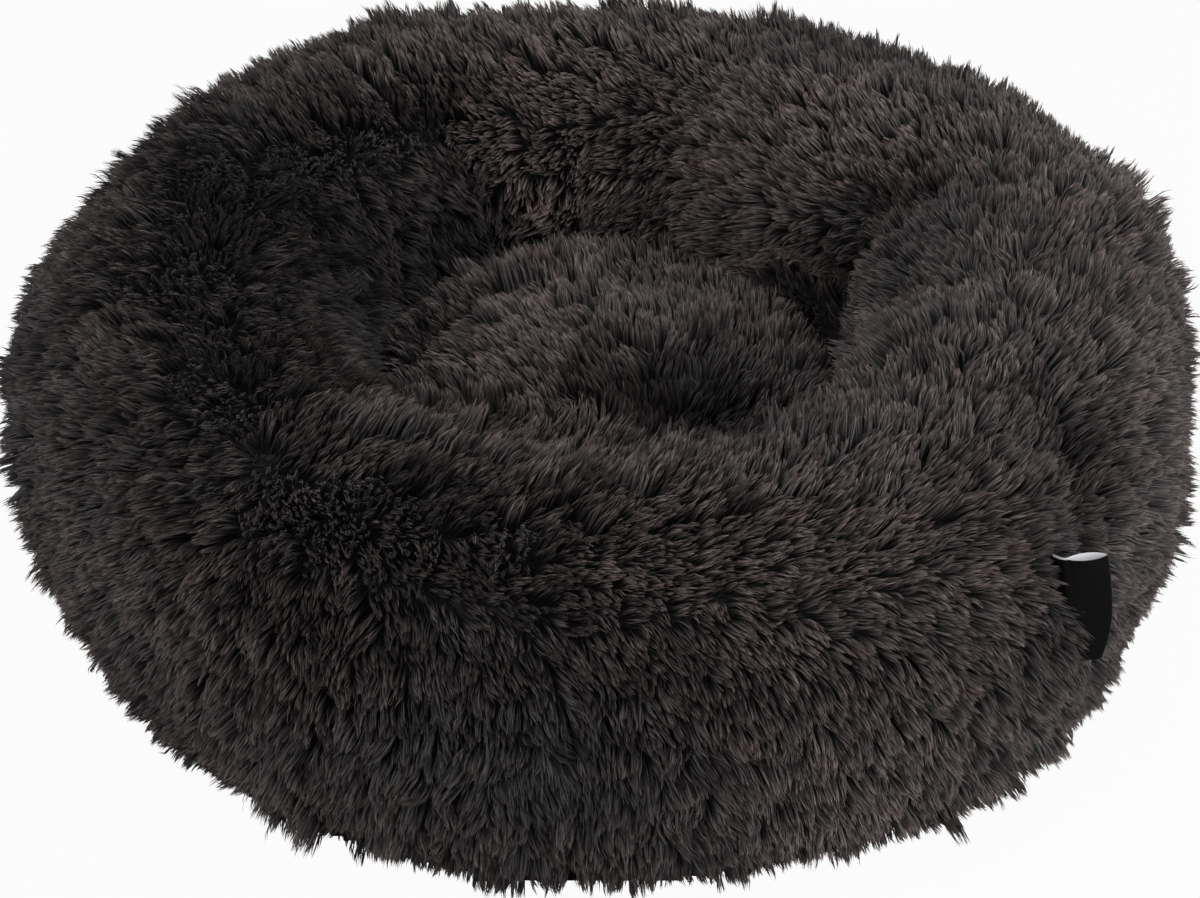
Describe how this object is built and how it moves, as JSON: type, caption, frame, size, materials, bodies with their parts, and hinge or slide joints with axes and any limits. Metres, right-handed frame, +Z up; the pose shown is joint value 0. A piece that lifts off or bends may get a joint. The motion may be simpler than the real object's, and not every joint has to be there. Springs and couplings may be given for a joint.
{
  "type": "donut pet bed",
  "caption": "Round pet bed: a plush filled ring round a domed filled cushion, on a grip base with a zip that opens.",
  "frame": {"origin": "on the floor, under the middle of the bed's box", "axes": "+Z up, -Y towards the front as pictured, +X to the right, along the zip"},
  "size_m": [0.61, 0.5958, 0.2053],
  "materials": {
    "plush": "long-pile plush, dark warm grey",
    "bag_cloth": "plain non-woven cloth",
    "fibre_filling": "loose polyester fibre",
    "grip_cloth": "woven cloth with rubber grip dots",
    "label_cloth": "black satin weave, bare",
    "zip_tape": "woven tape",
    "zip_nylon": "moulded nylon, black",
    "zip_metal": "die-cast zinc, dull nickel"
  },
  "bodies": {
    "bed": {"bolster_cover": "plush", "cushion_cover": "plush", "bolster_bag": "bag_cloth", "cushion_bag": "bag_cloth", "bolster_filling": "fibre_filling", "cushion_filling": "fibre_filling", "base_cloth": "grip_cloth", "woven_label": "label_cloth", "zip_tape_front": "zip_tape", "zip_tape_back": "zip_tape", "zip_teeth_front": "zip_nylon", "zip_teeth_back": "zip_nylon", "zip_end_stop": "zip_metal"},
    "slider": {"zip_slider": "zip_metal"},
    "pull": {"zip_pull": "zip_metal"}
  },
  "joints": [
    {"name": "zip_slide", "type": "slide", "parent": "bed", "child": "slider", "axis": [1, 0, 0], "range_m": [-0.379, 0]},
    {"name": "pull_swing", "type": "hinge", "parent": "slider", "child": "pull", "pos_m": [0.18977, 0.00231, 0.002], "axis": [0, -1, 0], "range_deg": [0, 165]}
  ]
}
